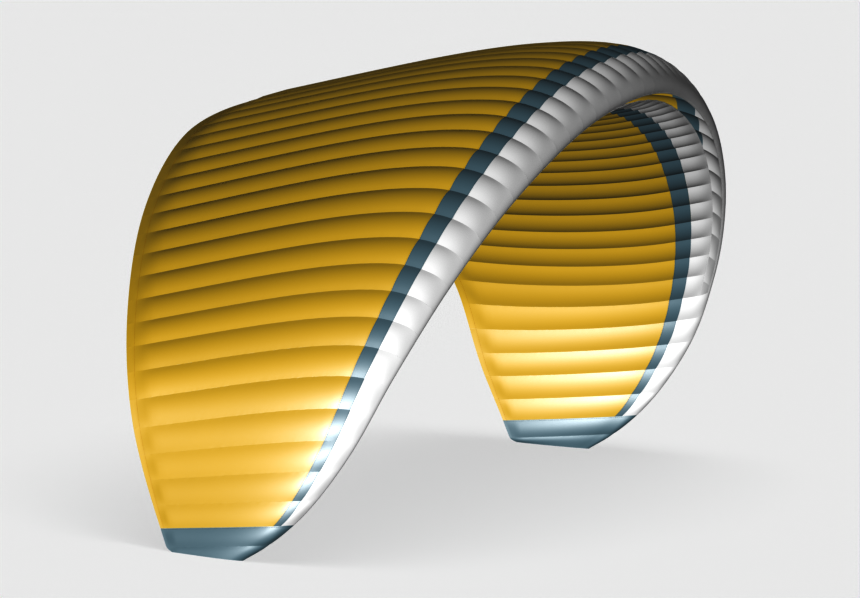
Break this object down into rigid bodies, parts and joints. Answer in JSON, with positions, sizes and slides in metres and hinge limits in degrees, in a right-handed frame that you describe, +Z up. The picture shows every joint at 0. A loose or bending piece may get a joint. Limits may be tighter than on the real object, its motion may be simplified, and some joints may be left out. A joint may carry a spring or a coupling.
{
  "type": "paraglider wing",
  "caption": "Inflated ram-air paraglider wing, arched over its two tips, with a yellow skin, slate bands and tips, a white nose and a long air intake.",
  "frame": {"origin": "middle of the wing's box, on the ground that its two tips stand on", "axes": "+X the way the wing flies, +Y to its left tip, +Z up"},
  "size_m": [2.6872, 10.1948, 3.0656],
  "materials": {
    "yellow_cloth": "coated ripstop nylon, satin",
    "slate_cloth": "coated ripstop nylon, satin",
    "white_cloth": "coated ripstop nylon, satin",
    "rib_cloth": "hard-finished ripstop nylon, matt"
  },
  "bodies": {
    "root": {"upper_right": "yellow_cloth", "upper_left": "yellow_cloth", "upper_band": "slate_cloth", "nose": "white_cloth", "lower_band": "slate_cloth", "lower_right": "yellow_cloth", "lower_middle": "yellow_cloth", "lower_left": "yellow_cloth", "tip_right": "slate_cloth", "tip_left": "slate_cloth", "rib_01": "rib_cloth", "rib_02": "rib_cloth", "rib_03": "rib_cloth", "rib_04": "rib_cloth", "rib_05": "rib_cloth", "rib_06": "rib_cloth", "rib_07": "rib_cloth", "rib_08": "rib_cloth", "rib_09": "rib_cloth", "rib_10": "rib_cloth", "rib_11": "rib_cloth", "rib_12": "rib_cloth", "rib_13": "rib_cloth", "rib_14": "rib_cloth", "rib_15": "rib_cloth", "rib_16": "rib_cloth", "rib_17": "rib_cloth", "rib_18": "rib_cloth", "rib_19": "rib_cloth", "rib_20": "rib_cloth", "rib_21": "rib_cloth", "rib_22": "rib_cloth", "rib_23": "rib_cloth", "rib_24": "rib_cloth", "rib_25": "rib_cloth", "rib_26": "rib_cloth", "rib_27": "rib_cloth", "rib_28": "rib_cloth", "rib_29": "rib_cloth", "rib_30": "rib_cloth", "rib_31": "rib_cloth", "rib_32": "rib_cloth", "rib_33": "rib_cloth", "rib_34": "rib_cloth", "rib_35": "rib_cloth", "rib_36": "rib_cloth", "rib_37": "rib_cloth", "rib_38": "rib_cloth", "rib_39": "rib_cloth", "rib_40": "rib_cloth", "rib_41": "rib_cloth", "rib_42": "rib_cloth", "rib_43": "rib_cloth", "rib_44": "rib_cloth", "rib_45": "rib_cloth", "rib_46": "rib_cloth", "rib_47": "rib_cloth", "rib_48": "rib_cloth", "rib_49": "rib_cloth", "rib_50": "rib_cloth"}
  },
  "joints": []
}
